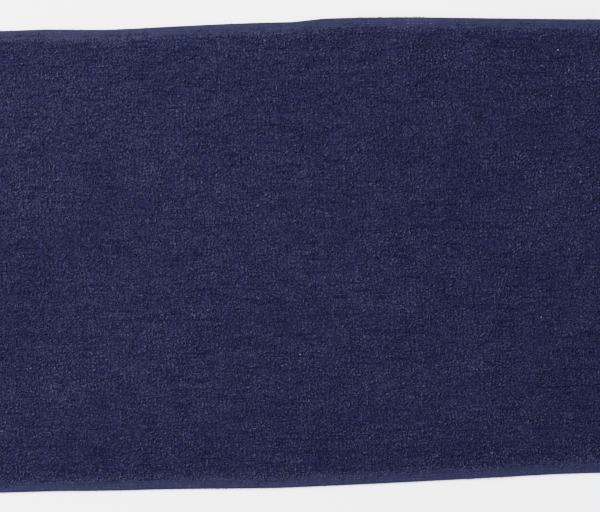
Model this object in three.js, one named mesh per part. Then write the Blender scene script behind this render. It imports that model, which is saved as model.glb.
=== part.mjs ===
// A sports towel of looped terry cloth, spread out flat on a level surface.
// It is one length of cloth: pile on both faces, and the four edges turned in as narrow flat hems.
// Millimetres. X runs along the towel, Y across it, and Z up from the surface that it lies on.

import * as THREE from "three";
import { mergeGeometries, mergeVertices } from "three/addons/utils/BufferGeometryUtils.js";

// The finished size, hem to hem. The outline below says how the width wanders.
const towelLength = 1000;
const towelWidth = 300;

// Heights above the surface: the tips of the pile, the flat hem, and the widest line of its turned fold.
const pileHeight = 4.4;
const hemHeight = 2.4;
const foldHeight = 1.2;

// The hems as sewn, and the short slope on which the first loops stand beside them.
const sideHemWidth = 5.6;
const endHemWidth = 14;
const pileSlope = 2.6;

// How far the turned fold rounds over at the top and under at the foot of the rim, and the corners in plan.
const foldRound = 0.7;
const footRound = 0.5;
const cornerRadius = 6;

// Spacing of the face's sections between the hems, and how near two points are to be one.
const alongStep = 20;
const acrossStep = 14;
const weldDistance = 0.01;

// The two long edges, as they wander: their distances from the centre line at places along the towel.
const outline = [
  { along: -500, far: 149.1, near: 149.5 },
  { along: -430, far: 150.0, near: 149.3 },
  { along: -360, far: 150.7, near: 150.2 },
  { along: -290, far: 149.8, near: 151.1 },
  { along: -234, far: 149.6, near: 150.3 },
  { along: -208, far: 150.0, near: 149.7 },
  { along: -182, far: 150.0, near: 149.7 },
  { along: -156, far: 150.1, near: 149.8 },
  { along: -130, far: 148.8, near: 150.5 },
  { along: -104, far: 149.0, near: 150.5 },
  { along: -78, far: 149.6, near: 150.8 },
  { along: -52, far: 150.1, near: 151.3 },
  { along: -26, far: 150.4, near: 151.9 },
  { along: 0, far: 150.2, near: 151.7 },
  { along: 20, far: 151.9, near: 151.4 },
  { along: 46, far: 151.7, near: 151.0 },
  { along: 78, far: 151.0, near: 150.3 },
  { along: 104, far: 149.9, near: 149.7 },
  { along: 130, far: 148.8, near: 149.1 },
  { along: 156, far: 147.7, near: 148.3 },
  { along: 182, far: 146.7, near: 148.2 },
  { along: 208, far: 146.0, near: 148.4 },
  { along: 270, far: 147.1, near: 149.2 },
  { along: 340, far: 148.9, near: 149.9 },
  { along: 420, far: 149.8, near: 149.4 },
  { along: 500, far: 149.0, near: 149.8 },
];

// Soft rises and hollows of the lying cloth: centre, reach along and across, and height of the face's change.
const swells = [
  { along: -420, across: 60, reachAlong: 60, reachAcross: 40, rise: 0.5 },
  { along: -380, across: -80, reachAlong: 45, reachAcross: 38, rise: -0.5 },
  { along: -300, across: 20, reachAlong: 50, reachAcross: 60, rise: 0.4 },
  { along: -250, across: -60, reachAlong: 60, reachAcross: 35, rise: -0.4 },
  { along: -178, across: -18, reachAlong: 32, reachAcross: 24, rise: -0.6 },
  { along: -140, across: 96, reachAlong: 40, reachAcross: 26, rise: 0.5 },
  { along: -120, across: 50, reachAlong: 20, reachAcross: 18, rise: -0.4 },
  { along: -104, across: -64, reachAlong: 30, reachAcross: 40, rise: 0.5 },
  { along: -78, across: 52, reachAlong: 26, reachAcross: 30, rise: 0.4 },
  { along: -42, across: -44, reachAlong: 30, reachAcross: 18, rise: -0.5 },
  { along: -20, across: 8, reachAlong: 26, reachAcross: 28, rise: 0.5 },
  { along: 18, across: 74, reachAlong: 34, reachAcross: 40, rise: -0.5 },
  { along: 20, across: -42, reachAlong: 36, reachAcross: 16, rise: -0.4 },
  { along: 44, across: -90, reachAlong: 40, reachAcross: 24, rise: 0.4 },
  { along: 80, across: -20, reachAlong: 30, reachAcross: 24, rise: 0.3 },
  { along: 120, across: 40, reachAlong: 40, reachAcross: 46, rise: -0.5 },
  { along: 160, across: -10, reachAlong: 30, reachAcross: 30, rise: 0.3 },
  { along: 170, across: -90, reachAlong: 50, reachAcross: 36, rise: -0.4 },
  { along: 250, across: 50, reachAlong: 50, reachAcross: 50, rise: 0.5 },
  { along: 310, across: -50, reachAlong: 60, reachAcross: 44, rise: -0.5 },
  { along: 380, across: 30, reachAlong: 50, reachAcross: 60, rise: 0.4 },
  { along: 450, across: -60, reachAlong: 40, reachAcross: 46, rise: 0.4 },
];

const halfLength = towelLength / 2;
const halfWidth = towelWidth / 2;
const edges = new THREE.CubicInterpolant(
  outline.map((row) => row.along),
  outline.flatMap((row) => [row.far, row.near]),
  2,
);

// The far and near edges' distances from the centre line at one place along the towel.
function halfWidths(along) {
  const [far, near] = edges.evaluate(THREE.MathUtils.clamp(along, -halfLength, halfLength));
  return { far, near };
}

// Height of the face, by how far inside the long edges and the ends a point lies.
function faceHeight(along, across) {
  const { far, near } = halfWidths(along);
  const sideInset = Math.min(far - across, near + across);
  const endInset = halfLength - Math.abs(along);
  const sideRise = THREE.MathUtils.smoothstep(sideInset, sideHemWidth, sideHemWidth + pileSlope);
  const endRise = THREE.MathUtils.smoothstep(endInset, endHemWidth, endHemWidth + pileSlope);
  const pile = Math.min(sideRise, endRise);
  const swell = swells.reduce((height, row) => {
    const u = (along - row.along) / row.reachAlong;
    const v = (across - row.across) / row.reachAcross;
    return height + row.rise * Math.exp(-(u * u + v * v));
  }, 0);
  return hemHeight + pile * (pileHeight - hemHeight + swell);
}

// Places of the sections from one edge to the other: close together on the hems, evenly spaced on the pile.
function sectionPlaces(low, high, hemWidth, step) {
  const hemInsets = [foldRound, hemWidth, hemWidth + pileSlope / 2, hemWidth + pileSlope];
  const firstPile = hemInsets.at(-1);
  const pileWidth = high - low - 2 * firstPile;
  const count = Math.round(pileWidth / step);
  const pilePlaces = Array.from(
    { length: count - 1 },
    (_, i) => low + firstPile + (pileWidth * (i + 1)) / count,
  );
  return [
    ...hemInsets.map((inset) => low + inset),
    ...pilePlaces,
    ...hemInsets.toReversed().map((inset) => high - inset),
  ];
}

// Draws a point of the square-cornered plan in to the round corner that the hems turn.
function roundedCorner(along, across, far, near) {
  const edge = across > 0 ? far : near;
  const u = (Math.abs(along) - halfLength + cornerRadius) / cornerRadius;
  const v = (Math.abs(across) - edge + cornerRadius) / cornerRadius;
  if (u <= 0 || v <= 0) {
    return [along, across];
  }
  const roundAlong = halfLength - cornerRadius + cornerRadius * u * Math.sqrt(1 - (v * v) / 2);
  const roundAcross = edge - cornerRadius + cornerRadius * v * Math.sqrt(1 - (u * u) / 2);
  return [Math.sign(along) * roundAlong, Math.sign(across) * roundAcross];
}

const alongPlaces = sectionPlaces(-halfLength, halfLength, endHemWidth, alongStep);
const acrossPlaces = sectionPlaces(-halfWidth, halfWidth, sideHemWidth, acrossStep);

// The upper face: a plane whose columns stand at the sections along and whose rows follow the two long edges.
function upperFace() {
  const columns = alongPlaces.length - 1;
  const rows = acrossPlaces.length - 1;
  const face = new THREE.PlaneGeometry(1, 1, columns, rows);
  const position = face.getAttribute("position");
  for (let i = 0; i < position.count; i++) {
    const along = alongPlaces[i % (columns + 1)];
    const place = acrossPlaces[rows - Math.floor(i / (columns + 1))];
    const { far, near } = halfWidths(along);
    const across = (place * (place > 0 ? far : near)) / halfWidth;
    const [x, y] = roundedCorner(along, across, far, near);
    position.setXYZ(i, x, y, faceHeight(along, across));
  }
  return face;
}

// The face's own boundary, counter-clockwise from the near left corner.
function boundary(face) {
  const { widthSegments: columns, heightSegments: rows } = face.parameters;
  const point = (column, row) =>
    new THREE.Vector3().fromBufferAttribute(face.getAttribute("position"), row * (columns + 1) + column);
  return [
    ...Array.from({ length: columns }, (_, i) => point(i, rows)),
    ...Array.from({ length: rows }, (_, i) => point(columns, rows - i)),
    ...Array.from({ length: columns }, (_, i) => point(columns - i, 0)),
    ...Array.from({ length: rows }, (_, i) => point(0, i)),
  ];
}

// The boundary moved outwards in plan, and set at one height.
function moved(ring, outwards, height) {
  return ring.map((point, i) => {
    const before = ring[(i + ring.length - 1) % ring.length];
    const after = ring[(i + 1) % ring.length];
    const run = after.clone().sub(before).setZ(0).normalize();
    return new THREE.Vector3(point.x + run.y * outwards, point.y - run.x * outwards, height);
  });
}

// The turned fold round the edge: a strip from the face out to its widest line and down to the foot.
function foldedRim(rings) {
  const count = rings[0].length;
  const rim = new THREE.PlaneGeometry(1, 1, count, rings.length - 1);
  const position = rim.getAttribute("position");
  for (let i = 0; i < position.count; i++) {
    const ring = rings[Math.floor(i / (count + 1))];
    const { x, y, z } = ring[(i % (count + 1)) % count];
    position.setXYZ(i, x, y, z);
  }
  return rim;
}

// The flat underside, facing down, inside the foot of the rim.
function underside(foot) {
  const face = new THREE.ShapeGeometry(new THREE.Shape(foot.map(({ x, y }) => new THREE.Vector2(x, y))));
  face.setIndex([...face.index.array].reverse());
  return face;
}

function towelGeometry() {
  const face = upperFace();
  const brim = boundary(face);
  const widest = moved(brim, foldRound, foldHeight);
  const foot = moved(brim, foldRound - footRound, 0);
  const surfaces = [face, foldedRim([brim, widest, foot]), underside(foot)];
  for (const surface of surfaces) {
    surface.deleteAttribute("normal");
    surface.deleteAttribute("uv");
  }
  const closed = mergeVertices(mergeGeometries(surfaces), weldDistance);
  closed.computeVertexNormals();
  return closed;
}

// Navy cotton loops: a dull, dark blue cloth with no gloss.
const navyTerry = new THREE.MeshStandardMaterial({ color: 0x292c4a, roughness: 0.95, metalness: 0 });

const towel = new THREE.Mesh(towelGeometry(), navyTerry);
towel.name = "towel";

const sportsTowel = new THREE.Group();
sportsTowel.add(towel);

export default sportsTowel;
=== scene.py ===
import math

import bmesh
import bpy
import numpy as np
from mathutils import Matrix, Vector, noise
from mathutils.bvhtree import BVHTree


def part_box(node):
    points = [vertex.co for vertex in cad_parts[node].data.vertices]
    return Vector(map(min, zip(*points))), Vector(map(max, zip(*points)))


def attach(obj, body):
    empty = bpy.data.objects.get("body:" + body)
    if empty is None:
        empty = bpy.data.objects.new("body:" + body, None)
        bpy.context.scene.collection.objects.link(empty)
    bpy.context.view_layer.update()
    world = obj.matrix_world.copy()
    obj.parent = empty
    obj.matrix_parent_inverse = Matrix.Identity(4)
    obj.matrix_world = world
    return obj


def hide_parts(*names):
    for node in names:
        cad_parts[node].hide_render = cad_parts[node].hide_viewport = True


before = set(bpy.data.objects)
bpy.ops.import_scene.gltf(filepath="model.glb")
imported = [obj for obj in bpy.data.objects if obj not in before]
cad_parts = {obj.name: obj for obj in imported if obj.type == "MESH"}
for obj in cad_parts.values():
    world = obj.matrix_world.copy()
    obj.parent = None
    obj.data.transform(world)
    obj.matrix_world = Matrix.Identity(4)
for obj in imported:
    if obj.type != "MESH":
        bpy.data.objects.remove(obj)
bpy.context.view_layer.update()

# The table and the light. The towel lies on a plain matt white board, under one wide soft lamp and a pale
# room, and the camera looks straight down through a long lens. The towel rises to the right in the picture,
# which is exposed as for a catalogue: the board comes out just under white, with only faint shadows.
photo_width = 600
metres_per_pixel = 0.0006495
camera_height = 1.6
towel_turn = math.radians(1.69)
frame_centre = (0.0, -0.0018)

lens_camera = bpy.data.cameras.new("camera")
lens_camera.sensor_fit = "HORIZONTAL"
lens_camera.sensor_width = 36
lens_camera.lens = lens_camera.sensor_width * camera_height / (photo_width * metres_per_pixel)
camera = bpy.data.objects.new("camera", lens_camera)
camera.location = (*frame_centre, camera_height)
camera.rotation_euler = (0, 0, -towel_turn)
bpy.context.scene.collection.objects.link(camera)
bpy.context.scene.camera = camera
bpy.context.scene.view_settings.view_transform = "Filmic"
bpy.context.scene.view_settings.look = "Very High Contrast"
bpy.context.scene.view_settings.exposure = 1.0


def linear(colour):
    """An sRGB hex colour as the linear numbers that a shader takes."""
    parts = [int(colour[i : i + 2], 16) / 255 for i in (1, 3, 5)]
    return [c / 12.92 if c <= 0.04045 else ((c + 0.055) / 1.055) ** 2.4 for c in parts] + [1.0]


def new_material(name):
    """An empty node material with its shader and output joined."""
    material = bpy.data.materials.new(name)
    material.use_nodes = True
    material.node_tree.nodes.clear()
    shader = add_node(material, "ShaderNodeBsdfPrincipled")
    add_node(material, "ShaderNodeOutputMaterial", {"Surface": shader.outputs[0]})
    return material, shader


def add_node(material, kind, inputs=None, **settings):
    """Adds a node, sets it up, and gives each named input a number, a colour or a link."""
    node = material.node_tree.nodes.new(kind)
    for name, value in settings.items():
        setattr(node, name, value)
    join(material, node, inputs or {})
    return node


def join(material, node, inputs):
    """Links each named input to another node's output, or sets its number or colour."""
    for socket, value in inputs.items():
        if isinstance(value, bpy.types.NodeSocket):
            material.node_tree.links.new(value, node.inputs[socket])
        else:
            node.inputs[socket].default_value = value


def new_object(name, mesh, materials):
    """The mesh as a piece of the scene, with its materials in order."""
    piece = bpy.data.objects.new(name, mesh)
    bpy.context.scene.collection.objects.link(piece)
    for material in materials:
        mesh.materials.append(material)
    return piece


# White lacquer on board: matt, and so even that its tint hardly varies over a hand's width. A Mix node takes
# its share at input 0 and its two colours at 6 and 7, and gives the mixed colour at output 2.
board_reach = 4
board_mottle = 0.111
board_whites = ("#eeeef0", "#f1f1f2")

white_board, shader = new_material("matt white lacquered board")
place = add_node(white_board, "ShaderNodeTexCoord").outputs["Object"]
mottle = add_node(white_board, "ShaderNodeTexNoise", {"Vector": place, "Scale": 1 / board_mottle}).outputs[0]
tint = add_node(
    white_board,
    "ShaderNodeMix",
    {0: mottle, 6: linear(board_whites[0]), 7: linear(board_whites[1])},
    data_type="RGBA",
).outputs[2]
join(white_board, shader, {"Base Color": tint, "Roughness": 0.9})

board = bmesh.new()
bmesh.ops.create_grid(board, x_segments=1, y_segments=1, size=board_reach)
board_mesh = bpy.data.meshes.new("board")
board.to_mesh(board_mesh)
board.free()
new_object("board", board_mesh, [white_board])

room = bpy.data.worlds.new("pale room")
bpy.context.scene.world = room
room.use_nodes = True
room.node_tree.nodes["Background"].inputs["Color"].default_value = linear("#ebf0fc")
room.node_tree.nodes["Background"].inputs["Strength"].default_value = 0.56

softbox = bpy.data.lights.new("softbox", "AREA")
softbox.shape = "DISK"
softbox.size = 0.8
softbox.energy = 10.8
softbox.color = linear("#fffbf2")[:3]
softbox_stand = bpy.data.objects.new("softbox", softbox)
softbox_stand.location = (-0.52, 0.36, 1.15)
softbox_stand.rotation_euler = (-softbox_stand.location).to_track_quat("-Z", "Y").to_euler()
bpy.context.scene.collection.objects.link(softbox_stand)

# The cloth: a dyed cotton ground weave, with its edges turned under twice and sewn down as flat hems. Loops
# stand on both its faces. The ones underneath are pressed flat by its weight, so they are its own relief.
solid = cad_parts["towel"]
solid_points = [v.co for v in solid.data.vertices]
solid_tree = BVHTree.FromPolygons(solid_points, [p.vertices for p in solid.data.polygons])
low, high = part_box("towel")
fold_height = 0.0012
hem_height = 0.0024
fold_round = 0.0007
side_hem = 0.0056
end_hem = 0.014
corner_radius = 0.006
corner_clear = 1.2 * corner_radius
edge_readings = 251
pile_slope = 0.0026
first_rise = 0.35
loop_height = 0.0022
out_of_reach = 0.02


def edge(along, side):
    """How far the long edge lies from the centre line at one place: side is 1 for the far one, else -1."""
    start = Vector((along, side * (high.y + out_of_reach), fold_height))
    hit = solid_tree.ray_cast(start, Vector((0, -side, 0)))[0]
    return abs(hit.y)


# Both edges are read once every 4 mm, clear of the round corners, and run straight between.
edge_places = np.linspace(low.x + corner_clear, high.x - corner_clear, edge_readings)
far_edge = np.array([edge(x, 1) for x in edge_places])
near_edge = np.array([edge(x, -1) for x in edge_places])


def half_width(along, side):
    """How far the long edge on that side lies from the centre line, for arrays of places."""
    far, near = (np.interp(along, edge_places, widths) for widths in (far_edge, near_edge))
    return np.where(side > 0, far, near)


def inside_hems(along, across):
    """How far each place lies inside the nearest hem's inner edge, and below 0 how far out on the hem."""
    inside_sides = half_width(along, across) - np.abs(across) - side_hem
    return np.minimum(inside_sides, high.x - np.abs(along) - end_hem)


def pile_share(along, across):
    """How far the pile has risen on the short slope beside the hem, where the first loops lie almost flat."""
    up = np.clip(inside_hems(along, across) / pile_slope, 0, 1)
    return first_rise + (1 - first_rise) * up * up * (3 - 2 * up)


def pile_top(along, across):
    """Height of the pile's tips: the solid's face, read past the slope, and down towards the hem on it."""
    end, side = high.x - end_hem - pile_slope, side_hem + pile_slope
    inside = half_width(along, across) - side
    starts = zip(np.clip(along, -end, end), np.clip(across, -inside, inside))
    above, down = high.z + out_of_reach, Vector((0, 0, -1))
    face = np.array([solid_tree.ray_cast(Vector((x, y, above)), down)[0].z for x, y in starts])
    return hem_height + pile_share(along, across) * (face - hem_height)


def round_corner(along, across, edges):
    """Draws the corner of the square plan in to the round one that the hems turn."""
    u = (np.abs(along) - high.x + corner_radius) / corner_radius
    v = (np.abs(across) - edges + corner_radius) / corner_radius
    turned = (u > 0) & (v > 0)
    u, v = np.where(turned, u, 0), np.where(turned, v, 0)
    x = high.x - corner_radius + corner_radius * u * np.sqrt(1 - v * v / 2)
    y = edges - corner_radius + corner_radius * v * np.sqrt(1 - u * u / 2)
    return np.where(turned, np.sign(along) * x, along), np.where(turned, np.sign(across) * y, across)


parts_apart = 10.3


def field(places, wave, seed):
    """A smooth random vector at each place, which turns over about one wave. Each seed has its own field, and
    its three parts are read so far apart in it that they have nothing in common."""
    spots = [(x / wave, y / wave) for x, y in zip(*places)]
    depths = [seed + part * parts_apart for part in range(3)]
    return np.array([[noise.noise((x, y, depth)) for x, y in spots] for depth in depths])


# Wide soft painted light and shade on the pile: lighter or darker where its nap lies two ways in wide
# patches, lighter where its swells turn to the lamp, and lighter beside the hems, most by the near one, where
# its loops stand clear of their neighbours. A wave holds its width and seed.
pile_height = 0.0044
swell_height = 0.0006
sweep_wave = (0.024, 17.5)
nap_wave = (0.05, 7.5)
nap_light = 0.8
sweep_light = 0.7
swell_light = 0.6
light_beside_hem = (1.2, 2.2)  # far side, near side
beside_hem_reach = 0.0045


def painted_pile_light(along, across, top):
    """That painted light and shade at each place where the pile's tips have that height."""
    nap = nap_light * field((along, across), *nap_wave)[2]
    nap = nap + sweep_light * field((along, across), *sweep_wave)[2]
    off_hem = (half_width(along, across) - np.abs(across) - side_hem).clip(0)
    beside = np.where(across > 0, *light_beside_hem) * np.exp(-((off_hem / beside_hem_reach) ** 2))
    return nap + swell_light * (top - pile_height) / swell_height + beside


# The lines of the cloth's grid lie close together on the hems and by their seams, and evenly spaced between.
seam_insets = (0.002, 0.004)
end_seam_insets = (0.002, 0.012)
seam_bank = 0.0006
hem_lip = 0.0003
first_loops = 0.0014
field_step = 0.0037


def insets_of(hem, seams):
    """Where the cloth bends beside one edge: at the fold, at each seam's groove and its two banks, at the
    lip on each side of the hem's inner edge, and on the slope of the first loops."""
    seam_bends = [seam + bank for seam in seams for bank in (-seam_bank, 0, seam_bank)]
    return [fold_round, *seam_bends, hem - hem_lip, hem + hem_lip, hem + first_loops, hem + pile_slope]


def lines_between(reach_low, reach_high, insets):
    """Where the grid's lines run, from one edge to the other."""
    count = round((reach_high - reach_low - 2 * insets[-1]) / field_step)
    between = np.linspace(reach_low + insets[-1], reach_high - insets[-1], count + 1)[1:-1]
    return np.concatenate([reach_low + np.array(insets), between, reach_high - np.array(insets[::-1])])


columns = lines_between(low.x, high.x, insets_of(end_hem, end_seam_insets))
rows = lines_between(low.y, high.y, insets_of(side_hem, seam_insets)) / high.y

# Two grids, face and underside, joined round their edges by the turned fold. Z runs from 1 on the face,
# round the fold, to -1 underneath.
fold_cuts = 3
cloth_bm = bmesh.new()
bmesh.ops.create_grid(cloth_bm, x_segments=len(columns) - 1, y_segments=len(rows) - 1, size=1)
bmesh.ops.translate(cloth_bm, verts=cloth_bm.verts, vec=(0, 0, 1))
copied = bmesh.ops.duplicate(cloth_bm, geom=[*cloth_bm.verts, *cloth_bm.edges, *cloth_bm.faces])["geom"]
under_faces = [g for g in copied if isinstance(g, bmesh.types.BMFace)]
bmesh.ops.translate(cloth_bm, verts=[g for g in copied if isinstance(g, bmesh.types.BMVert)], vec=(0, 0, -2))
bmesh.ops.reverse_faces(cloth_bm, faces=under_faces)
bmesh.ops.bridge_loops(cloth_bm, edges=[e for e in cloth_bm.edges if e.is_boundary])
across_fold = [e for e in cloth_bm.edges if abs(e.verts[0].co.z - e.verts[1].co.z) > 1]
bmesh.ops.subdivide_edges(cloth_bm, edges=across_fold, cuts=fold_cuts)
bmesh.ops.recalc_face_normals(cloth_bm, faces=cloth_bm.faces)

grid = np.array([v.co for v in cloth_bm.verts])
column = np.rint((grid[:, 0] + 1) / 2 * (len(columns) - 1)).astype(int)
row = np.rint((grid[:, 1] + 1) / 2 * (len(rows) - 1)).astype(int)
round_fold = grid[:, 2]
along = columns[column]
edges_here = half_width(along, rows[row])
across = rows[row] * edges_here
end_inset = high.x - np.abs(along)
side_inset = edges_here - np.abs(across)

# The lines on the long hems keep their distance from the edge, however it wanders.
side_lines = np.array(insets_of(side_hem, seam_insets))
lines_in = np.minimum(row, len(rows) - 1 - row)
on_hem_lines = lines_in < len(side_lines)
side_inset = np.where(on_hem_lines, side_lines[np.minimum(lines_in, len(side_lines) - 1)], side_inset)
across = np.sign(rows[row]) * (edges_here - side_inset)

# The face: hems that bulge a little between the grooves of their seams, and the bed that the loops hide.
bed_depth = 0.001
seam_depth = 0.0003
groove_width = 0.0003
hem_bulge = 0.0002
bulge_wave = (0.007, 2.5)
hem_depth = np.minimum(side_inset / side_hem, end_inset / end_hem)
on_hem = hem_depth < 1
seam_distances = [np.abs(side_inset - seam) for seam in seam_insets]
seam_distances += [np.abs(end_inset - seam) for seam in end_seam_insets]
groove = np.exp(-((np.min(seam_distances, axis=0) / groove_width) ** 2)) * on_hem * seam_depth
bulge = field((along, across), *bulge_wave)[2] * hem_bulge
tips = pile_top(along, across)
face_height = np.where(on_hem, hem_height + bulge - groove, tips - bed_depth * pile_share(along, across))

# The underside: pressed loops that dimple it, a soft ridge inside the hems, and the seams' shallow grooves.
pressed_relief = 0.0007
pressed_wave = (0.0052, 8.5)
pressed_edge = 3  # how sharply a dimple ends
ridge_height = 0.0005
ridge_place = 1.05  # in widths of the hem
ridge_width = 0.06  # in widths of the hem
under_groove = 0.6
dimples = 0.5 + 0.5 * np.tanh(pressed_edge * field((along, across), *pressed_wave)[2])
ridge = np.exp(-(((hem_depth - ridge_place) / ridge_width) ** 2)) * ridge_height
under_height = np.where(on_hem, groove * under_groove, dimples * pressed_relief + ridge)

# How light the cloth is. The hems are painted paler out to the fold, which catches the lamp, and more so on
# the far half of the towel, which faces it. The bed takes the pile's painted light and shade, and goes past 1
# beside the hems, where it is painted lighter and its gaps get less painted shade.
near_side_fold_light = 0.4
bed_tone_middle = 0.79
bed_tone_spread = 0.3
first_feet_reach = 0.0018
first_feet_light = 0.45
bed_tone = (bed_tone_middle + bed_tone_spread * painted_pile_light(along, across, tips)).clip(0, 1)
past_hem = np.minimum(side_inset - side_hem, end_inset - end_hem)
bed_tone = bed_tone + first_feet_light * np.exp(-((past_hem / first_feet_reach) ** 2))
fold_light = np.where(across > 0, 1, near_side_fold_light)
cloth_tone = np.where(on_hem, fold_light * (1 - hem_depth.clip(0, 1)), bed_tone)

# The turned fold: half a round, out from the face and back to the underside, and drawn in at the corners.
rim = np.abs(round_fold) < 1
angle = round_fold * math.pi / 2
outwards = np.where(rim, fold_round * np.cos(angle), 0)
at_end = (column == 0) | (column == len(columns) - 1)
at_side = (row == 0) | (row == len(rows) - 1)
along = along + np.sign(along) * outwards * at_end
across = across + np.sign(across) * outwards * at_side
height = np.where(round_fold > 0, face_height, under_height)
height = np.where(rim, fold_height * (1 + np.sin(angle)), height)
along, across = round_corner(along, across, edges_here)
for v, place in zip(cloth_bm.verts, np.stack([along, across, height], -1)):
    v.co = place

cloth_mesh = bpy.data.meshes.new("cloth")
cloth_bm.to_mesh(cloth_mesh)
cloth_bm.free()
cloth_mesh.shade_smooth()
cloth_mesh.attributes.new("tone", "FLOAT", "POINT").data.foreach_set("value", cloth_tone.astype(np.float32))

# What each face is made of: 0 hem, 1 matted feet, 2 pressed loops. The weave lies on the towel's own plan.
# The other map has the face in its upper half and the underside, turned over, in its lower half.
feet_from = 0.00035  # the lip at a hem's inner edge is hem
map_margin = 0.01
corners = np.array([face.vertices for face in cloth_mesh.polygons])
places = np.stack([along, across], -1)[corners]
middle = places.mean(1)
on_face = round_fold[corners].sum(1) > 0
on_pile = inside_hems(middle[:, 0], middle[:, 1]) >= feet_from
made_of = np.where(on_pile, np.where(on_face, 1, 2), 0)
cloth_mesh.polygons.foreach_set("material_index", made_of)
cloth_mesh.uv_layers.new(name="weave").uv.foreach_set("vector", places.ravel())
share = (places - np.array(low[:2])) / np.array((high - low)[:2])
share[..., 0] = np.where(on_face[:, None], share[..., 0], 1 - share[..., 0])
share = (map_margin + (1 - 2 * map_margin) * share) * (1, 0.5)
share[..., 1] += np.where(on_face[:, None], 0.5, 0)
cloth_mesh.uv_layers.new(name="OFBake").uv.foreach_set("vector", share.ravel())

# Dyed cotton: dull and hardly glossy, with the faint pale sheen of the fibres that stand off it.
navy = {
    "Roughness": 0.8,
    "Specular IOR Level": 0.3,
    "Sheen Weight": 0.06,
    "Sheen Roughness": 0.6,
    "Sheen Tint": linear("#b8b8c8"),
}


def navy_cloth(name):
    """A material with that finish, still without its colour and relief."""
    material, shader = new_material(name)
    join(material, shader, navy)
    return material, shader


stroke_sizes = [(0.0016, 0.0008), (0.0008, 0.0012), (0.0042, 0.0012)]  # along and across the towel
stroke_weights = (1.0, 1.0, 0.35)
stroke_spread = (0.295, 0.258)  # darker and lighter than the middle
# Thin creases of painted shade along the pile, where it opens.
crease_size = (0.018, 0.0013)
crease_ends = (0.56, 0.72)
crease_shade = 0.72
# Navies that the tone mixes, partly at random and partly as painted light and shade, and the deepest navy,
# which is painted shade in creases and gaps.
dark_and_shaded_navy = ("#060929", "#363848")
light_and_lit_navy = ("#131838", "#474954")
shade_navy = "#080b2e"


def cotton_fuzz(material):
    """Worn cotton: short strokes along and across the towel, in a darker and a lighter navy that the tone
    mixes, partly at random and partly as painted light and shade, and thin lines of painted shade along it
    where the pile opens. Real fibres are far too fine to show."""
    place = add_node(material, "ShaderNodeTexCoord").outputs["Object"]
    total = 0.0
    for (length, width), weight in zip(stroke_sizes, stroke_weights):
        scale = (1 / length, 1 / width, 1 / width)
        own = add_node(material, "ShaderNodeMapping", {"Vector": place, "Scale": scale}).outputs[0]
        stroke = add_node(material, "ShaderNodeTexNoise", {"Vector": own, "Scale": 1.0, "Detail": 1.0})
        terms = {0: stroke.outputs[0], 1: weight, 2: total}
        total = add_node(material, "ShaderNodeMath", terms, operation="MULTIPLY_ADD").outputs[0]
    middle = sum(stroke_weights) / 2
    ends = {"From Min": middle - stroke_spread[0], "From Max": middle + stroke_spread[1]}
    share = add_node(material, "ShaderNodeMapRange", {"Value": total, **ends}).outputs[0]
    shaded_strokes, lit_strokes = (
        add_node(
            material, "ShaderNodeMix", {0: share, 6: linear(dark), 7: linear(light)}, data_type="RGBA"
        ).outputs[2]
        for dark, light in (dark_and_shaded_navy, light_and_lit_navy)
    )
    tone = add_node(material, "ShaderNodeAttribute", attribute_name="tone").outputs["Fac"]
    strokes = add_node(material, "ShaderNodeMix", {0: tone, 6: shaded_strokes, 7: lit_strokes}, data_type="RGBA").outputs[2]
    scale = (1 / crease_size[0], 1 / crease_size[1], 1 / crease_size[1])
    own = add_node(material, "ShaderNodeMapping", {"Vector": place, "Scale": scale}).outputs[0]
    crease = add_node(material, "ShaderNodeTexNoise", {"Vector": own, "Scale": 1.0, "Detail": 1.0}).outputs[0]
    ends = {"From Min": crease_ends[0], "From Max": crease_ends[1], "To Max": crease_shade}
    crease = add_node(material, "ShaderNodeMapRange", {"Value": crease, **ends}).outputs[0]
    colours = {0: crease, 6: strokes, 7: linear(shade_navy)}
    return add_node(material, "ShaderNodeMix", colours, data_type="RGBA").outputs[2]


# The hem is flat plain weave. Its yarns are drawn a millimetre apart, twice as coarse as real ones: the eye
# gets fine ribs close to, and from further off a dull mottle where the dye took unevenly, with painted light
# that makes it paler out to the fold. A wave texture's lines lie pi / 10 apart at a scale of 1.
wave_lines = math.pi / 10
weave_pitch = 0.0010134
weave_relief = 0.0002
mottle_size = 0.00588
inner_navy = ("#191b30", "#303246")
lit_fold_navy = ("#232638", "#383b4e")
rib_navy = "#2c2e42"

hem_cloth, shader = navy_cloth("flat-woven navy hem")
weave_map = add_node(hem_cloth, "ShaderNodeUVMap", uv_map="weave").outputs[0]
ribs = [
    add_node(
        hem_cloth,
        "ShaderNodeTexWave",
        {"Vector": weave_map, "Scale": wave_lines / weave_pitch, "Distortion": 0.6, "Detail Scale": 2.0},
        bands_direction=direction,
    ).outputs[1]
    for direction in ("X", "Y")
]
weave = add_node(hem_cloth, "ShaderNodeMath", {0: ribs[0], 1: ribs[1]}, operation="MULTIPLY").outputs[0]
mottle = add_node(
    hem_cloth, "ShaderNodeTexNoise", {"Vector": weave_map, "Scale": 1 / mottle_size, "Detail": 3.0}
).outputs[0]
inner, lit_fold = (
    add_node(
        hem_cloth, "ShaderNodeMix", {0: mottle, 6: linear(dark), 7: linear(light)}, data_type="RGBA"
    ).outputs[2]
    for dark, light in (inner_navy, lit_fold_navy)
)
lit_to_fold = add_node(hem_cloth, "ShaderNodeAttribute", attribute_name="tone").outputs["Fac"]
# The painted light of the fold, mixed over the dyed mottle.
dyed = add_node(hem_cloth, "ShaderNodeMix", {0: lit_to_fold, 6: inner, 7: lit_fold}, data_type="RGBA").outputs[2]
colours = {0: weave, 6: dyed, 7: linear(rib_navy)}
ribbed = add_node(hem_cloth, "ShaderNodeMix", colours, data_type="RGBA").outputs[2]
relief = add_node(hem_cloth, "ShaderNodeBump", {"Height": weave, "Distance": weave_relief}).outputs[0]
join(hem_cloth, shader, {"Base Color": ribbed, "Normal": relief})
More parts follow.
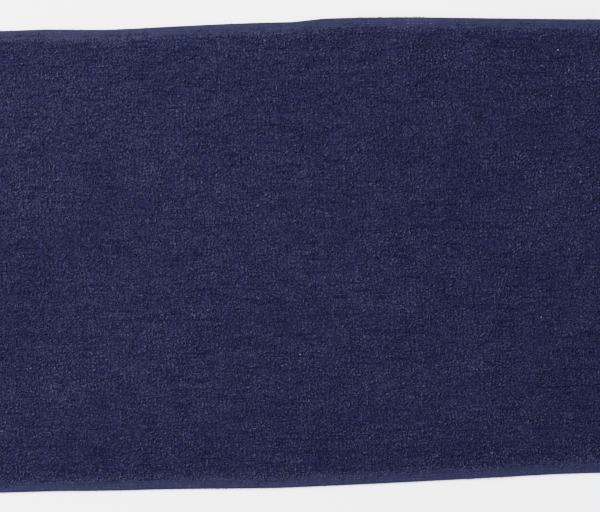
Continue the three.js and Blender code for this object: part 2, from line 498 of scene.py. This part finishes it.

# Between the loops the eye sees no weave, only the matted feet of other loops: rounded cells a little wider
# than a yarn, with faint painted shade in lines across the towel between the rows, and painted shade in the
# gaps between the cells, which thins out beside the hems. Each foot is wound from finer yarn, drawn half a
# millimetre wide, which winds about the cloth.
row_pitch = 0.00247
row_shade_share = 0.35
foot_size = 0.0013
foot_relief = 0.0007
first_feet_gap_shade = 0.2
strand_size = (0.0005, 0.0009)  # along and across the towel
strand_relief = 0.00014
wind_size = 0.001667
wind_reach = 0.0016

matted_feet, shader = navy_cloth("matted feet of cotton loops")
place = add_node(matted_feet, "ShaderNodeTexCoord").outputs["Object"]
# Painted shade in faint lines between the rows.
row_shade = add_node(
    matted_feet,
    "ShaderNodeTexWave",
    {"Vector": place, "Scale": wave_lines / row_pitch, "Distortion": 3.0, "Detail": 1.0, "Detail Scale": 2.0},
).outputs[1]
row_shade = add_node(
    matted_feet, "ShaderNodeMath", {0: row_shade, 1: row_shade_share}, operation="MULTIPLY"
).outputs[0]
colours = {0: row_shade, 6: cotton_fuzz(matted_feet), 7: linear(shade_navy)}
rows_of_feet = add_node(matted_feet, "ShaderNodeMix", colours, data_type="RGBA").outputs[2]

gaps = add_node(matted_feet, "ShaderNodeTexVoronoi", {"Vector": place, "Scale": 1 / foot_size}).outputs[0]
# Painted shade in the gaps between the feet, thinned where the bed is painted lighter beside the hems.
own_tone = add_node(matted_feet, "ShaderNodeAttribute", attribute_name="tone").outputs["Fac"]
ends = {"From Min": 1.0, "From Max": 1.0 + first_feet_light, "To Min": 1.0, "To Max": first_feet_gap_shade}
gap_shade_share = add_node(matted_feet, "ShaderNodeMapRange", {"Value": own_tone, **ends}).outputs[0]
gap_shade = add_node(
    matted_feet, "ShaderNodeMath", {0: gaps, 1: gap_shade_share}, operation="MULTIPLY"
).outputs[0]
colours = {0: gap_shade, 6: rows_of_feet, 7: linear(shade_navy)}
feet_colour = add_node(matted_feet, "ShaderNodeMix", colours, data_type="RGBA").outputs[2]

wind = add_node(matted_feet, "ShaderNodeTexNoise", {"Vector": place, "Scale": 1 / wind_size}).outputs["Color"]
terms = {0: wind, 1: (wind_reach, wind_reach, wind_reach), 2: place}
wound = add_node(matted_feet, "ShaderNodeVectorMath", terms, operation="MULTIPLY_ADD").outputs[0]
scale = (1 / strand_size[0], 1 / strand_size[1], 1 / strand_size[0])
wound = add_node(matted_feet, "ShaderNodeMapping", {"Vector": wound, "Scale": scale}).outputs[0]
strands = add_node(matted_feet, "ShaderNodeTexVoronoi", {"Vector": wound, "Scale": 1.0}).outputs[0]
relief = add_node(
    matted_feet, "ShaderNodeBump", {"Height": gaps, "Distance": foot_relief}, invert=True
).outputs[0]
relief = add_node(
    matted_feet,
    "ShaderNodeBump",
    {"Height": strands, "Distance": strand_relief, "Normal": relief},
    invert=True,
).outputs[0]
join(matted_feet, shader, {"Base Color": feet_colour, "Normal": relief})

# Underneath, the loops are pressed over flat: wide cells with painted shade in the gaps between them,
# worn in fine specks.
pressed_size = 0.0023
pressed_gap_depth = 0.0008
wear_size = 0.000526
worn_navy = ("#2c2e44", "#3a3c54")
pressed_gap_shade = "#1c1e36"

pressed_pile, shader = navy_cloth("pressed cotton loops")
place = add_node(pressed_pile, "ShaderNodeTexCoord").outputs["Object"]
cells = add_node(
    pressed_pile, "ShaderNodeTexVoronoi", {"Vector": place, "Scale": 1 / pressed_size}
).outputs[0]
wear = add_node(
    pressed_pile, "ShaderNodeTexNoise", {"Vector": place, "Scale": 1 / wear_size, "Detail": 2.0}
).outputs[0]
colours = {0: wear, 6: linear(worn_navy[0]), 7: linear(worn_navy[1])}
worn = add_node(pressed_pile, "ShaderNodeMix", colours, data_type="RGBA").outputs[2]
colours = {0: cells, 6: worn, 7: linear(pressed_gap_shade)}
gap_shaded = add_node(pressed_pile, "ShaderNodeMix", colours, data_type="RGBA").outputs[2]
relief = add_node(
    pressed_pile, "ShaderNodeBump", {"Height": cells, "Distance": pressed_gap_depth}, invert=True
).outputs[0]
join(pressed_pile, shader, {"Base Color": gap_shaded, "Normal": relief})

cloth = new_object("cloth", cloth_mesh, [hem_cloth, matted_feet, pressed_pile])
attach(cloth, "root")
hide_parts("towel")

# The pile. One loop of twisted cotton yarn stands on every pick of the ground weave, foot to foot across the
# towel. Washing has pushed the loops over in small swirls and tufts, so they close over the cloth that they
# stand on.
loop_pitch = 0.00182
yarn_radius = 0.00055
yarn_flatness = 0.7
shoulder = 0.0009
shoulder_height = 0.00175
shoulder_slant = 0.5
foot = 0.0005
foot_depth = 0.0002
pile_pieces = 5
random = np.random.default_rng(7)

# One loop, foot to foot along X: a ring of three points at each shoulder, the yarn between them, and each
# ring drawn in to its foot.
loop_bm = bmesh.new()
rings = []
for side in (-1, 1):
    ring = bmesh.ops.create_circle(loop_bm, segments=3, radius=yarn_radius)["verts"]
    for v in ring:
        across, up = v.co.x, v.co.y
        v.co = (side * (shoulder + shoulder_slant * up), across, shoulder_height + yarn_flatness * up)
    rings.append(ring)
ring_faces = [bmesh.ops.contextual_create(loop_bm, geom=ring)["faces"][0] for ring in rings]
over_faces = bmesh.ops.bridge_loops(loop_bm, edges=loop_bm.edges[:])["faces"]
bmesh.ops.triangulate(loop_bm, faces=over_faces, quad_method="FIXED")
feet = bmesh.ops.poke(loop_bm, faces=ring_faces)["verts"]
for side, v in zip((-1, 1), feet):
    v.co = (side * foot, 0, -foot_depth)
bmesh.ops.recalc_face_normals(loop_bm, faces=loop_bm.faces)
loop_bm.verts.index_update()
loop_points = np.array([v.co for v in loop_bm.verts])
loop_faces = np.array([[v.index for v in f.verts] for f in loop_bm.faces])
loop_bm.free()

# Its own map runs along the yarn from foot to foot, and once round it. The third side ends where the map
# does, and a foot lies in the middle of the side that it closes.
stations = np.array([1, 1, 1, 2, 2, 2, 0, 3])  # the shoulders' six points, and the two feet
is_foot = loop_faces > 5
round_yarn = np.where(is_foot, 0.0, loop_faces % 3)
on_third_side = (round_yarn == 2).any(1, keepdims=True)
round_yarn = np.where(on_third_side & ~is_foot & (round_yarn == 0), 3, round_yarn)
round_yarn = np.where(is_foot, round_yarn.sum(1, keepdims=True) / 2, round_yarn)
loop_map = np.stack([stations[loop_faces], round_yarn], -1) / 3

end_clear = 0.0008
far_end_clear = 0.0006
side_clear = 0.0006
pile_along = np.arange(low.x + end_hem + end_clear, high.x - end_hem - far_end_clear, row_pitch)
across_count = round((high.y - low.y - 2 * side_hem) / loop_pitch)
pile_across = np.linspace(-1, 1, across_count)
along, fraction = (grid.ravel() for grid in np.meshgrid(pile_along, pile_across, indexing="ij"))
across = fraction * (half_width(along, fraction) - side_hem - side_clear)
count = len(along)

# The loops lie over in small swirls and tufts, and along the two wide sweeps of the nap.
swirl_wave = (0.006, 1.5)
tuft_wave = (0.0125, 4.5)
swirl = field((along, across), *swirl_wave)
tuft = field((along, across), *tuft_wave)
sweep = field((along, across), *sweep_wave)
nap = field((along, across), *nap_wave)

# Where the pile parts in a line along the towel and shows its foot, with painted shade on the loops beside
# it: middle of the line, and its length.
partings = [
    (-0.104, 0.0195, 0.091),
    (0.080, 0.0165, 0.060),
    (0.008, 0.0070, 0.040),
    (0.015, 0.0320, 0.022),
    (0.017, -0.0410, 0.058),
    (-0.041, 0.0600, 0.024),
    (0.010, 0.1010, 0.030),
    (0.190, 0.0170, 0.026),
]
parting_lean = 0.0009
parting_reach = 0.0014
parting_shade = 2.2
parting_wander = 0.0012
parting_fade = 0.002
parted_lean = np.zeros(count)
parted_shade = np.zeros(count)
# The loops beside each parting lean apart, and are darkened with painted shade.
for line_along, line_across, length in partings:
    beside = across - line_across - parting_wander * tuft[1]
    within = 1 / (1 + np.exp((np.abs(along - line_along) - length / 2) / parting_fade))
    near = np.exp(-((beside / parting_reach) ** 2)) * within
    parted_lean += parting_lean * np.sign(beside) * near
    parted_shade -= parting_shade * near

# The feet stand a little off the picks. Beside the hems the outermost loops straggle out over them in tufts,
# but stand back from the near one, and from one bare stretch of the far one.
foot_scatter = (0.0003, 0.00035)
foot_swirl = 0.0006
foot_tuft = 0.0010
ragged_from = 0.985
ragged_reach = 0.0023
ragged_share = 0.35
ragged_tuft = 2
worn_from = 0.9
near_gap = 0.0004
bare_middle = 0.080
bare_half_length = 0.018
bare_width = 0.0018
along = along + random.normal(0, foot_scatter[0], count) + foot_swirl * swirl[0] + foot_tuft * tuft[0]
across = across + random.normal(0, foot_scatter[1], count) + foot_swirl * swirl[1]
ragged = (np.abs(fraction) - ragged_from).clip(0) / (1 - ragged_from)
straggle = (ragged_share + tuft[0] * ragged_tuft + swirl[2]).clip(0, 1)
across = across + np.sign(across) * ragged * ragged_reach * straggle
bare_hem = bare_width * np.exp(-(((along - bare_middle) / bare_half_length) ** 2)) * (across > 0)
worn_share = (np.abs(fraction) - worn_from).clip(0) / (1 - worn_from)
across = across - np.sign(across) * np.where(across > 0, bare_hem, near_gap) * worn_share
top = pile_top(along, across)

# How each loop turns and leans, and how long, thick and tall it is.
turn_spread = 1.0
lean_spread = 0.0006
lean_swirl = 0.0006
lean_tuft = 0.0008
lean_sweep = 0.0008
lean_nap = 0.0014
most_lean = 0.0010
turn = random.normal(math.pi / 2, turn_spread, count)
lean = random.normal(0, lean_spread, (2, count)) + lean_swirl * swirl[:2] + lean_tuft * tuft[:2]
lean = lean + lean_sweep * sweep[:2] + lean_nap * nap[:2]
lean[1] += parted_lean
lean = lean / np.sqrt(1 + (np.hypot(*lean) / most_lean) ** 2)
size_spread = 0.14
length_limits = (0.6, 1.4)
thickness_limits = (0.65, 1.4)
longer = random.normal(1, size_spread, count).clip(*length_limits)
thicker = random.normal(1, size_spread, count).clip(*thickness_limits)
rise_middle = 0.95
rise_spread = 0.10
rise_swirl = 0.12
rise_tuft = 0.10
rise_limits = (0.7, 1.08)
taller = rise_middle + random.normal(0, rise_spread, count) + rise_swirl * swirl[2] + rise_tuft * tuft[2]
taller = taller.clip(*rise_limits)

# How light each loop is: some by chance, some by its tuft, some in long thin streaks along and across the
# towel, and some painted light and shade: the pile's wide soft painted light, and painted shade by the
# partings.
tone_middle = 0.5
tone_contrast = 0.32
tone_spread = 0.45
tone_tuft = 0.9
tone_along_streak = 2.0
tone_across_streak = 0.6
streak_stretch = 9
streak_width = 0.0045
streak_seeds = (21.5, 31.5)
along_streak = field((along / streak_stretch, across), streak_width, streak_seeds[0])[2]
across_streak = field((along, across / streak_stretch), streak_width, streak_seeds[1])[2]
tone = random.normal(0, tone_spread, count) + tone_tuft * tuft[2] + painted_pile_light(along, across, top)
tone = tone + tone_along_streak * along_streak + tone_across_streak * across_streak + parted_shade
tone = (tone_middle + tone_contrast * tone).clip(0, 1)


def set_down(points, x, y, z, turn):
    """The points of a small shape, turned in plan and set down at each place."""
    sine, cosine = np.sin(turn)[:, None], np.cos(turn)[:, None]
    turned_x = x[:, None] + points[..., 0] * cosine - points[..., 1] * sine
    turned_y = y[:, None] + points[..., 0] * sine + points[..., 1] * cosine
    return np.stack([turned_x, turned_y, z[:, None] + points[..., 2]], -1)


# Each loop is crumpled a little, and bends over more towards its tip, which comes down as it leans.
crumple = 0.00015
bend_power = 1.5
points = loop_points + random.normal(0, crumple, (count, *loop_points.shape))
points = points * np.stack([longer, thicker, taller], -1)[:, None]
height_share = points[..., 2] / loop_height
bend = height_share.clip(0) ** bend_power
drop = loop_height - np.sqrt(loop_height**2 - np.hypot(*lean) ** 2)
placed = set_down(points, along, across, top - loop_height, turn)
placed[..., :2] += bend[..., None] * lean.T[:, None]
placed[..., 2] -= bend * drop[:, None]

# Cotton yarn in the loops: two plies twisted together, which the eye gets as slanting ribs round each loop,
# and small knots in it. Painted shade makes it dark blue down at the foot and lighter and greyer up at the
# tip, with less of it on the loops that straggle over the hems. Lines on the diagonal lie twice as far apart
# along each axis.
knot_size = 0.0007
knot_relief = 0.00015
ply_relief = 0.0002
ply_strength = 0.6
plies_along = 4
plies_round = 2
ragged_foot_light = 0.4
foot_shade_navy = "#12163c"

navy_loops, shader = navy_cloth("piece-dyed navy terry yarn")
place = add_node(navy_loops, "ShaderNodeTexCoord").outputs["Object"]
knots = add_node(navy_loops, "ShaderNodeTexVoronoi", {"Vector": place, "Scale": 1 / knot_size}).outputs[0]
along_yarn = add_node(navy_loops, "ShaderNodeUVMap", uv_map="yarn").outputs[0]
scale = (plies_along * 2 * wave_lines, plies_round * 2 * wave_lines, 1)
twisted = add_node(navy_loops, "ShaderNodeMapping", {"Vector": along_yarn, "Scale": scale}).outputs[0]
plies = add_node(
    navy_loops, "ShaderNodeTexWave", {"Vector": twisted, "Scale": 1.0}, bands_direction="DIAGONAL"
).outputs[1]
relief = add_node(
    navy_loops, "ShaderNodeBump", {"Height": knots, "Distance": knot_relief}, invert=True
).outputs[0]
relief = add_node(
    navy_loops,
    "ShaderNodeBump",
    {"Height": plies, "Distance": ply_relief, "Strength": ply_strength, "Normal": relief},
).outputs[0]
own_rise = add_node(navy_loops, "ShaderNodeAttribute", attribute_name="rise").outputs["Fac"]
colours = {0: own_rise, 6: linear(foot_shade_navy), 7: cotton_fuzz(navy_loops)}
yarn_colour = add_node(navy_loops, "ShaderNodeMix", colours, data_type="RGBA").outputs[2]
join(navy_loops, shader, {"Base Color": yarn_colour, "Normal": relief})


def joined_copies(name, points, faces, placed, material, tone):
    """One mesh of many copies of a small shape, with flat faces. Each copy has its own tone."""
    mesh = bpy.data.meshes.new(name)
    offsets = (np.arange(len(placed)) * len(points))[:, None, None]
    mesh.from_pydata(placed.reshape(-1, 3).tolist(), [], (faces[None] + offsets).reshape(-1, 3).tolist())
    values = mesh.attributes.new("tone", "FLOAT", "POINT")
    values.data.foreach_set("value", np.repeat(tone, len(points)).astype(np.float32))
    piece = new_object(name, mesh, [material])
    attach(piece, "root")
    return piece


# The loops go into five pieces, from one end of the towel to the other. Each loop has its own cell of a map.
cell_margin = 0.06
# How far up its loop each point stands, which sets the painted shade at the foot; the loops that straggle
# over the hems get less of it.
rise = (height_share + ragged_foot_light * ragged[:, None]).clip(0, 1)
for number, chosen in enumerate(np.array_split(np.arange(count), pile_pieces), 1):
    pile = joined_copies(f"pile_{number}", loop_points, loop_faces, placed[chosen], navy_loops, tone[chosen])
    rises = pile.data.attributes.new("rise", "FLOAT", "POINT")
    rises.data.foreach_set("value", rise[chosen].ravel().astype(np.float32))
    pile.data.uv_layers.new(name="yarn").uv.foreach_set("vector", np.tile(loop_map.ravel(), len(chosen)))
    side_cells = math.ceil(math.sqrt(len(chosen)))
    cell = np.stack(np.divmod(np.arange(len(chosen)), side_cells), -1)[:, None, None]
    cell_map = (cell + cell_margin + (1 - 2 * cell_margin) * loop_map[None]) / side_cells
    pile.data.uv_layers.new(name="OFBake").uv.foreach_set("vector", cell_map.ravel())

# The seams. Lockstitch in navy thread holds the turned hems down, in two rows side by side along the long
# edges and one at each side of the wide end hems. Each float of thread lies in the groove that it pulls, on
# both faces.
stitch_pitch = 0.0029
stitch_length = 0.0023
length_spread = 0.00012
turn_wander = 0.05
thread_radius = 0.00021
under_thread_radius = 0.00016  # pressed flatter
seam_start = 0.0035
stitch_lift = 0.0001
under_stitch_height = 0.0002

bead_bm = bmesh.new()
bmesh.ops.create_icosphere(bead_bm, subdivisions=1, radius=1)
bead_points = np.array([v.co for v in bead_bm.verts])
bead_faces = np.array([[v.index for v in f.verts] for f in bead_bm.faces])
bead_bm.free()

side_run = np.arange(low.x + seam_start, high.x - seam_start, stitch_pitch)
side_seams = [
    (side_run, side * (half_width(side_run, np.full(len(side_run), side)) - inset), 0)
    for side in (-1, 1)
    for inset in seam_insets
]
end_run = np.arange(low.y + seam_start, high.y - seam_start, stitch_pitch)
end_seams = [
    (np.full(len(end_run), end * (high.x - inset)), end_run, math.pi / 2)
    for end in (-1, 1)
    for inset in end_seam_insets
]
runs = [(x, y, np.full(len(x), way)) for x, y, way in side_seams + end_seams]
stitch_x, stitch_y, stitch_turn = (np.tile(np.concatenate(part), 2) for part in zip(*runs))
stitches = len(stitch_x)
on_top = np.arange(stitches) < stitches // 2
stitch_z = np.where(on_top, hem_height - seam_depth + stitch_lift, under_stitch_height)
stitch_turn = stitch_turn + random.normal(0, turn_wander, stitches)
half_length = random.normal(stitch_length / 2, length_spread, stitches)
thickness = np.where(on_top, thread_radius, under_thread_radius)
size = np.stack([half_length, np.full(stitches, thread_radius), thickness], -1)
placed = set_down(bead_points[None] * size[:, None], stitch_x, stitch_y, stitch_z, stitch_turn)

# One short stretch of the far seams is worn pale, most at its left end.
worn_stitches = (0.0735, 0.0920)
most_worn_until = 0.0790
most_worn_tone = 0.9
worn_tones = (0.0, 0.7)
sewn_tone = 0.14
sewn_tone_spread = 0.12
worn = (stitch_x > worn_stitches[0]) & (stitch_x < worn_stitches[1]) & (stitch_y > 0)
paler = np.where(stitch_x < most_worn_until, most_worn_tone, random.uniform(*worn_tones, stitches))
tone = (sewn_tone + paler * worn + random.normal(0, sewn_tone_spread, stitches)).clip(0, 1)

# Sewing thread: smooth, a little glossier than the cloth, with the slant of its twist, and paler where worn.
twist_pitch = 0.000698
twist_relief = 0.0001
thread_colours = ("#2a2c42", "#7e8098")
twist_navy = "#30324a"

sewing_thread, shader = navy_cloth("navy sewing thread")
own_tone = add_node(sewing_thread, "ShaderNodeAttribute", attribute_name="tone").outputs["Fac"]
place = add_node(sewing_thread, "ShaderNodeTexCoord").outputs["Object"]
twist = add_node(
    sewing_thread,
    "ShaderNodeTexWave",
    {"Vector": place, "Scale": 2 * wave_lines / twist_pitch},
    bands_direction="DIAGONAL",
).outputs[1]
colours = {0: own_tone, 6: linear(thread_colours[0]), 7: linear(thread_colours[1])}
dyed = add_node(sewing_thread, "ShaderNodeMix", colours, data_type="RGBA").outputs[2]
colours = {0: twist, 6: dyed, 7: linear(twist_navy)}
twisted = add_node(sewing_thread, "ShaderNodeMix", colours, data_type="RGBA").outputs[2]
relief = add_node(sewing_thread, "ShaderNodeBump", {"Height": twist, "Distance": twist_relief}).outputs[0]
join(sewing_thread, shader, {"Base Color": twisted, "Roughness": 0.65, "Normal": relief})
stitching = joined_copies("stitches", bead_points, bead_faces, placed, sewing_thread, tone)

# Fuzz. Worn fibres stand out from the turned fold of the long edges, a few everywhere and more in places:
# slivers of cotton, drawn thicker than real fibres, of which each stands for a tuft.
fibre_width = 0.0003
fibre_length = 0.0014
length_shares = (0.5, 1.1)
heading_spread = 1.0
climbs = (-0.1, 0.6)
root_inset = 0.0004
root_heights = (0.0006, 0.0018)
fibre_tone = 0.3
fibres_each_side = 260
fibres_end_clear = 0.01
worn_folds = [  # middle along the towel, half its length, side, and number of slivers
    (0.0610, 0.0240, 1, 150),
    (-0.1465, 0.0050, 1, 26),
    (-0.1135, 0.0003, 1, 3),
    (-0.1380, 0.0003, 1, 3),
    (0.1200, 0.0160, -1, 40),
    (-0.0600, 0.0120, -1, 30),
]

# One sliver is a unit long, half of it on each side of its middle, and thins to a quarter at its tip.
sliver_bm = bmesh.new()
bmesh.ops.create_cone(
    sliver_bm,
    cap_ends=True,
    segments=3,
    radius1=fibre_width / 2,
    radius2=fibre_width / 8,
    depth=1,
)
bmesh.ops.triangulate(sliver_bm, faces=sliver_bm.faces)
sliver_points = np.array([v.co for v in sliver_bm.verts])
sliver_faces = np.array([[v.index for v in f.verts] for f in sliver_bm.faces])
sliver_bm.free()

everywhere = [(0.0, high.x - fibres_end_clear, side, fibres_each_side) for side in (-1, 1)]
folds = worn_folds + everywhere
fibre_x = np.concatenate([random.uniform(x - half, x + half, n) for x, half, side, n in folds])
fibre_side = np.concatenate([np.full(n, side) for x, half, side, n in folds])
fibres = len(fibre_x)
lengths = fibre_length * random.uniform(*length_shares, fibres)
reach = (0.5 + sliver_points[None, :, 2]) * lengths[:, None]
heading = random.normal(0, heading_spread, fibres)[:, None]
climb = random.uniform(*climbs, fibres)[:, None]
root_y = fibre_side * (half_width(fibre_x, fibre_side) - root_inset)
root_z = random.uniform(*root_heights, fibres)
placed = np.stack(
    [
        fibre_x[:, None] + reach * np.sin(heading) + sliver_points[None, :, 0],
        root_y[:, None] + reach * np.cos(heading) * fibre_side[:, None],
        root_z[:, None] + reach * np.sin(climb) + sliver_points[None, :, 1],
    ],
    -1,
)

# Loose cotton: the yarn's own dull navy, a little knotty, with no gloss.
fibre_relief = 0.0001

loose_cotton, shader = navy_cloth("loose navy cotton fibres")
place = add_node(loose_cotton, "ShaderNodeTexCoord").outputs["Object"]
knots = add_node(loose_cotton, "ShaderNodeTexVoronoi", {"Vector": place, "Scale": 1 / knot_size}).outputs[0]
relief = add_node(loose_cotton, "ShaderNodeBump", {"Height": knots, "Distance": fibre_relief}).outputs[0]
join(loose_cotton, shader, {"Base Color": cotton_fuzz(loose_cotton), "Normal": relief})
tones = np.full(fibres, fibre_tone)
fuzz = joined_copies("edge_fuzz", sliver_points, sliver_faces, placed, loose_cotton, tones)

# Lint. A few pale specks of other fibre, as the wash leaves them on dark cloth. The loops have caught them,
# so they lie flat on the pile.
specks = [  # along the towel, across it, and how pale
    (0.1710, 0.1266, 0.8),
    (0.1778, 0.1134, 0.2),
    (0.1658, 0.0971, 0.1),
    (0.1830, 0.0407, 0.2),
    (0.1500, 0.0248, 0.1),
    (0.1745, -0.0025, 0.1),
    (0.1551, -0.0461, 0.4),
    (-0.0018, -0.0656, 0.3),
]
speck_size = np.array([0.0008, 0.0005, 0.0003])
speck_sink = 0.00005
speck_x, speck_y, paleness = (np.array(part) for part in zip(*specks))
speck_z = pile_top(speck_x, speck_y) - speck_sink
speck_turn = random.uniform(0, math.pi, len(specks))
placed = set_down(bead_points[None] * speck_size, speck_x, speck_y, speck_z, speck_turn)

# Pale lint: matt fluff that scatters light evenly, some specks paler than others.
fluff_size = 0.0004
fluff_relief = 0.0002
lint_colours = ("#3c3e54", "#8a8ca2")
fluff_shade = "#50526a"

lint, shader = navy_cloth("pale lint fluff")
own_tone = add_node(lint, "ShaderNodeAttribute", attribute_name="tone").outputs["Fac"]
place = add_node(lint, "ShaderNodeTexCoord").outputs["Object"]
fluff = add_node(lint, "ShaderNodeTexNoise", {"Vector": place, "Scale": 1 / fluff_size}).outputs[0]
colours = {0: own_tone, 6: linear(lint_colours[0]), 7: linear(lint_colours[1])}
paler = add_node(lint, "ShaderNodeMix", colours, data_type="RGBA").outputs[2]
colours = {0: fluff, 6: paler, 7: linear(fluff_shade)}
fluffy = add_node(lint, "ShaderNodeMix", colours, data_type="RGBA").outputs[2]
relief = add_node(lint, "ShaderNodeBump", {"Height": fluff, "Distance": fluff_relief}).outputs[0]
join(lint, shader, {"Base Color": fluffy, "Normal": relief})
joined_copies("lint", bead_points, bead_faces, placed, lint, paleness)
